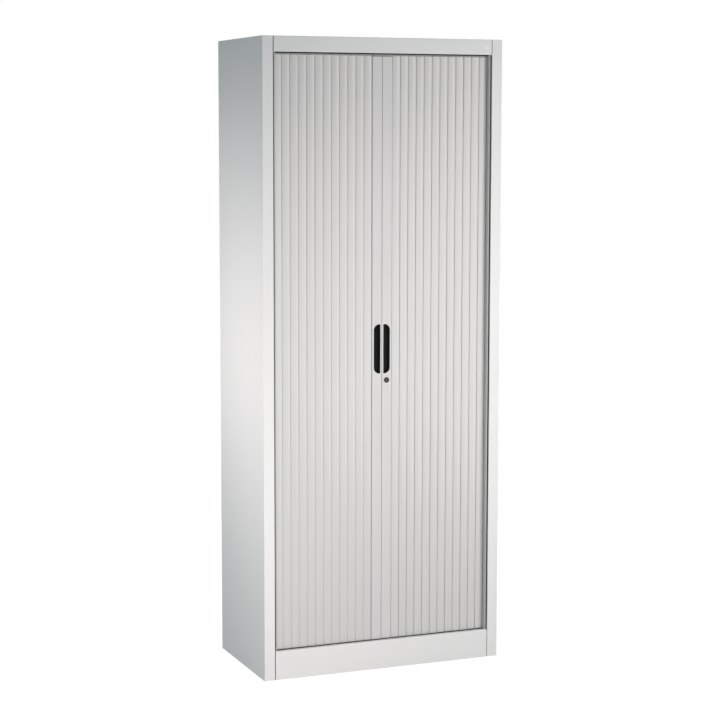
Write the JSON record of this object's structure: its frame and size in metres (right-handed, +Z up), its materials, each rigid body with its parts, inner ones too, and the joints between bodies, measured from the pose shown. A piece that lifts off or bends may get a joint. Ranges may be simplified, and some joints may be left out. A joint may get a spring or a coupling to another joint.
{
  "type": "tambour door cabinet",
  "caption": "Tall free-standing steel cupboard whose two tambour curtains of upright slats slide round the front corners into side pockets, with finger grips, a hook lock and shelves.",
  "frame": {"origin": "centre of the footprint on the floor", "axes": "+X to the right seen from the front, +Z up, the front faces -Y"},
  "size_m": [0.8, 0.4208, 1.98],
  "materials": {
    "carcass_paint": "fine-textured powder coat",
    "slat_plastic": "extruded, satin",
    "rail_paint": "satin paint on an aluminium extrusion",
    "strip_plastic": "extruded, satin",
    "track_nylon": "moulded, satin",
    "grip_plastic": "moulded, fine texture",
    "badge_plastic": "smooth",
    "lock_chrome": "dark nickel plate",
    "zinc_plate": "zinc plated",
    "foot_plastic": "moulded"
  },
  "bodies": {
    "cabinet": {"right_side_panel": "carcass_paint", "left_side_panel": "carcass_paint", "top_panel": "carcass_paint", "plinth": "carcass_paint", "base_deck": "carcass_paint", "floor_panel": "carcass_paint", "back_panel": "carcass_paint", "jamb_strips": "strip_plastic", "rail_badge": "badge_plastic", "upper_track": "track_nylon", "lower_track": "track_nylon", "right_lining": "carcass_paint", "left_lining": "carcass_paint", "shelf_uprights": "zinc_plate", "shelf_1": "carcass_paint", "shelf_2": "carcass_paint", "shelf_3": "carcass_paint", "shelf_4": "carcass_paint", "shelf_clips": "zinc_plate"},
    "right_leaf": {"right_closing_rail": "rail_paint", "right_rail_glides": "track_nylon", "right_grip": "grip_plastic", "lock_housing": "lock_chrome", "lock_nut": "zinc_plate"},
    "left_leaf": {"left_closing_rail": "rail_paint", "left_rail_glides": "track_nylon", "left_grip": "grip_plastic", "strike": "zinc_plate"},
    "lock": {"lock_plug": "lock_chrome", "lock_hook": "zinc_plate"},
    "right_slat_01": {"right_slat_01": "slat_plastic"},
    "right_slat_02": {"right_slat_02": "slat_plastic"},
    "right_slat_03": {"right_slat_03": "slat_plastic"},
    "right_slat_04": {"right_slat_04": "slat_plastic"},
    "right_slat_05": {"right_slat_05": "slat_plastic"},
    "right_slat_06": {"right_slat_06": "slat_plastic"},
    "right_slat_07": {"right_slat_07": "slat_plastic"},
    "right_slat_08": {"right_slat_08": "slat_plastic"},
    "right_slat_09": {"right_slat_09": "slat_plastic"},
    "right_slat_10": {"right_slat_10": "slat_plastic"},
    "right_slat_11": {"right_slat_11": "slat_plastic"},
    "right_slat_12": {"right_slat_12": "slat_plastic"},
    "right_slat_13": {"right_slat_13": "slat_plastic"},
    "left_slat_01": {"left_slat_01": "slat_plastic"},
    "left_slat_02": {"left_slat_02": "slat_plastic"},
    "left_slat_03": {"left_slat_03": "slat_plastic"},
    "left_slat_04": {"left_slat_04": "slat_plastic"},
    "left_slat_05": {"left_slat_05": "slat_plastic"},
    "left_slat_06": {"left_slat_06": "slat_plastic"},
    "left_slat_07": {"left_slat_07": "slat_plastic"},
    "left_slat_08": {"left_slat_08": "slat_plastic"},
    "left_slat_09": {"left_slat_09": "slat_plastic"},
    "left_slat_10": {"left_slat_10": "slat_plastic"},
    "left_slat_11": {"left_slat_11": "slat_plastic"},
    "left_slat_12": {"left_slat_12": "slat_plastic"},
    "left_slat_13": {"left_slat_13": "slat_plastic"},
    "front_right_foot": {"front_right_foot": "foot_plastic"},
    "front_left_foot": {"front_left_foot": "foot_plastic"},
    "rear_right_foot": {"rear_right_foot": "foot_plastic"},
    "rear_left_foot": {"rear_left_foot": "foot_plastic"}
  },
  "joints": [
    {"name": "right_door", "type": "slide", "parent": "cabinet", "child": "right_leaf", "axis": [1, 0, 0], "range_m": [0, 0.3244]},
    {"name": "left_door", "type": "slide", "parent": "cabinet", "child": "left_leaf", "axis": [-1, 0, 0], "range_m": [0, 0.3244]},
    {"name": "right_slat_01_turn", "type": "hinge", "parent": "cabinet", "child": "right_slat_01", "pos_m": [0.1942, 0.58833, 0.0728], "axis": [0, 0, 1], "range_deg": [0, 23.75], "deforming": ["right_slat_01"]},
    {"name": "right_slat_02_turn", "type": "hinge", "parent": "cabinet", "child": "right_slat_02", "pos_m": [0.213, 0.03149, 0.0728], "axis": [0, 0, 1], "range_deg": [0, 75.22], "deforming": ["right_slat_02"]},
    {"name": "right_slat_03_turn", "type": "hinge", "parent": "cabinet", "child": "right_slat_03", "pos_m": [0.21851, -0.01351, 0.0728], "axis": [0, 0, 1], "range_deg": [0, 90], "deforming": ["right_slat_03"]},
    {"name": "right_slat_04_turn", "type": "hinge", "parent": "cabinet", "child": "right_slat_04", "pos_m": [0.21851, -0.01351, 0.0728], "axis": [0, 0, 1], "range_deg": [0, 90], "deforming": ["right_slat_04"]},
    {"name": "right_slat_05_turn", "type": "hinge", "parent": "cabinet", "child": "right_slat_05", "pos_m": [0.21851, -0.01351, 0.0728], "axis": [0, 0, 1], "range_deg": [0, 90], "deforming": ["right_slat_05"]},
    {"name": "right_slat_06_turn", "type": "hinge", "parent": "cabinet", "child": "right_slat_06", "pos_m": [0.21851, -0.01351, 0.0728], "axis": [0, 0, 1], "range_deg": [0, 90], "deforming": ["right_slat_06"]},
    {"name": "right_slat_07_turn", "type": "hinge", "parent": "cabinet", "child": "right_slat_07", "pos_m": [0.21851, -0.01351, 0.0728], "axis": [0, 0, 1], "range_deg": [0, 90], "deforming": ["right_slat_07"]},
    {"name": "right_slat_08_turn", "type": "hinge", "parent": "cabinet", "child": "right_slat_08", "pos_m": [0.21851, -0.01351, 0.0728], "axis": [0, 0, 1], "range_deg": [0, 90], "deforming": ["right_slat_08"]},
    {"name": "right_slat_09_turn", "type": "hinge", "parent": "cabinet", "child": "right_slat_09", "pos_m": [0.21851, -0.01351, 0.0728], "axis": [0, 0, 1], "range_deg": [0, 90], "deforming": ["right_slat_09"]},
    {"name": "right_slat_10_turn", "type": "hinge", "parent": "cabinet", "child": "right_slat_10", "pos_m": [0.21851, -0.01351, 0.0728], "axis": [0, 0, 1], "range_deg": [0, 90], "deforming": ["right_slat_10"]},
    {"name": "right_slat_11_turn", "type": "hinge", "parent": "cabinet", "child": "right_slat_11", "pos_m": [0.21851, -0.01351, 0.0728], "axis": [0, 0, 1], "range_deg": [0, 90], "deforming": ["right_slat_11"]},
    {"name": "right_slat_12_turn", "type": "hinge", "parent": "cabinet", "child": "right_slat_12", "pos_m": [0.21851, -0.01351, 0.0728], "axis": [0, 0, 1], "range_deg": [0, 90], "deforming": ["right_slat_12"]},
    {"name": "right_slat_13_turn", "type": "hinge", "parent": "cabinet", "child": "right_slat_13", "pos_m": [0.14, -0.00532, 0.0728], "axis": [0, 0, 1], "range_deg": [0, 66.98], "deforming": ["right_slat_13"]},
    {"name": "left_slat_01_turn", "type": "hinge", "parent": "cabinet", "child": "left_slat_01", "pos_m": [-0.1942, 0.58833, 0.0728], "axis": [0, 0, -1], "range_deg": [0, 23.75], "deforming": ["left_slat_01"]},
    {"name": "left_slat_02_turn", "type": "hinge", "parent": "cabinet", "child": "left_slat_02", "pos_m": [-0.213, 0.03149, 0.0728], "axis": [0, 0, -1], "range_deg": [0, 75.22], "deforming": ["left_slat_02"]},
    {"name": "left_slat_03_turn", "type": "hinge", "parent": "cabinet", "child": "left_slat_03", "pos_m": [-0.21851, -0.01351, 0.0728], "axis": [0, 0, -1], "range_deg": [0, 90], "deforming": ["left_slat_03"]},
    {"name": "left_slat_04_turn", "type": "hinge", "parent": "cabinet", "child": "left_slat_04", "pos_m": [-0.21851, -0.01351, 0.0728], "axis": [0, 0, -1], "range_deg": [0, 90], "deforming": ["left_slat_04"]},
    {"name": "left_slat_05_turn", "type": "hinge", "parent": "cabinet", "child": "left_slat_05", "pos_m": [-0.21851, -0.01351, 0.0728], "axis": [0, 0, -1], "range_deg": [0, 90], "deforming": ["left_slat_05"]},
    {"name": "left_slat_06_turn", "type": "hinge", "parent": "cabinet", "child": "left_slat_06", "pos_m": [-0.21851, -0.01351, 0.0728], "axis": [0, 0, -1], "range_deg": [0, 90], "deforming": ["left_slat_06"]},
    {"name": "left_slat_07_turn", "type": "hinge", "parent": "cabinet", "child": "left_slat_07", "pos_m": [-0.21851, -0.01351, 0.0728], "axis": [0, 0, -1], "range_deg": [0, 90], "deforming": ["left_slat_07"]},
    {"name": "left_slat_08_turn", "type": "hinge", "parent": "cabinet", "child": "left_slat_08", "pos_m": [-0.21851, -0.01351, 0.0728], "axis": [0, 0, -1], "range_deg": [0, 90], "deforming": ["left_slat_08"]},
    {"name": "left_slat_09_turn", "type": "hinge", "parent": "cabinet", "child": "left_slat_09", "pos_m": [-0.21851, -0.01351, 0.0728], "axis": [0, 0, -1], "range_deg": [0, 90], "deforming": ["left_slat_09"]},
    {"name": "left_slat_10_turn", "type": "hinge", "parent": "cabinet", "child": "left_slat_10", "pos_m": [-0.21851, -0.01351, 0.0728], "axis": [0, 0, -1], "range_deg": [0, 90], "deforming": ["left_slat_10"]},
    {"name": "left_slat_11_turn", "type": "hinge", "parent": "cabinet", "child": "left_slat_11", "pos_m": [-0.21851, -0.01351, 0.0728], "axis": [0, 0, -1], "range_deg": [0, 90], "deforming": ["left_slat_11"]},
    {"name": "left_slat_12_turn", "type": "hinge", "parent": "cabinet", "child": "left_slat_12", "pos_m": [-0.21851, -0.01351, 0.0728], "axis": [0, 0, -1], "range_deg": [0, 90], "deforming": ["left_slat_12"]},
    {"name": "left_slat_13_turn", "type": "hinge", "parent": "cabinet", "child": "left_slat_13", "pos_m": [-0.14, -0.00532, 0.0728], "axis": [0, 0, -1], "range_deg": [0, 66.98], "deforming": ["left_slat_13"]},
    {"name": "lock_turn", "type": "hinge", "parent": "right_leaf", "child": "lock", "pos_m": [0.01625, -0.1895, 0.92], "axis": [0, 1, 0], "range_deg": [0, 90]},
    {"name": "front_right_foot_screw", "type": "slide", "parent": "cabinet", "child": "front_right_foot", "axis": [0, 0, -1], "range_m": [0, 0.012]},
    {"name": "front_left_foot_screw", "type": "slide", "parent": "cabinet", "child": "front_left_foot", "axis": [0, 0, -1], "range_m": [0, 0.012]},
    {"name": "rear_right_foot_screw", "type": "slide", "parent": "cabinet", "child": "rear_right_foot", "axis": [0, 0, -1], "range_m": [0, 0.012]},
    {"name": "rear_left_foot_screw", "type": "slide", "parent": "cabinet", "child": "rear_left_foot", "axis": [0, 0, -1], "range_m": [0, 0.012]}
  ],
  "couplings": [
    {"joint": "right_slat_01_turn", "follows": "right_door", "rad_per_m": 1.2779},
    {"joint": "right_slat_02_turn", "follows": "right_door", "rad_per_m": 4.0471},
    {"joint": "right_slat_03_turn", "follows": "right_door", "rad_per_m": 4.8422},
    {"joint": "right_slat_04_turn", "follows": "right_door", "rad_per_m": 4.8422},
    {"joint": "right_slat_05_turn", "follows": "right_door", "rad_per_m": 4.8422},
    {"joint": "right_slat_06_turn", "follows": "right_door", "rad_per_m": 4.8422},
    {"joint": "right_slat_07_turn", "follows": "right_door", "rad_per_m": 4.8422},
    {"joint": "right_slat_08_turn", "follows": "right_door", "rad_per_m": 4.8422},
    {"joint": "right_slat_09_turn", "follows": "right_door", "rad_per_m": 4.8422},
    {"joint": "right_slat_10_turn", "follows": "right_door", "rad_per_m": 4.8422},
    {"joint": "right_slat_11_turn", "follows": "right_door", "rad_per_m": 4.8422},
    {"joint": "right_slat_12_turn", "follows": "right_door", "rad_per_m": 4.8422},
    {"joint": "right_slat_13_turn", "follows": "right_door", "rad_per_m": 3.6034},
    {"joint": "left_slat_01_turn", "follows": "left_door", "rad_per_m": 1.2779},
    {"joint": "left_slat_02_turn", "follows": "left_door", "rad_per_m": 4.0471},
    {"joint": "left_slat_03_turn", "follows": "left_door", "rad_per_m": 4.8422},
    {"joint": "left_slat_04_turn", "follows": "left_door", "rad_per_m": 4.8422},
    {"joint": "left_slat_05_turn", "follows": "left_door", "rad_per_m": 4.8422},
    {"joint": "left_slat_06_turn", "follows": "left_door", "rad_per_m": 4.8422},
    {"joint": "left_slat_07_turn", "follows": "left_door", "rad_per_m": 4.8422},
    {"joint": "left_slat_08_turn", "follows": "left_door", "rad_per_m": 4.8422},
    {"joint": "left_slat_09_turn", "follows": "left_door", "rad_per_m": 4.8422},
    {"joint": "left_slat_10_turn", "follows": "left_door", "rad_per_m": 4.8422},
    {"joint": "left_slat_11_turn", "follows": "left_door", "rad_per_m": 4.8422},
    {"joint": "left_slat_12_turn", "follows": "left_door", "rad_per_m": 4.8422},
    {"joint": "left_slat_13_turn", "follows": "left_door", "rad_per_m": 3.6034}
  ]
}
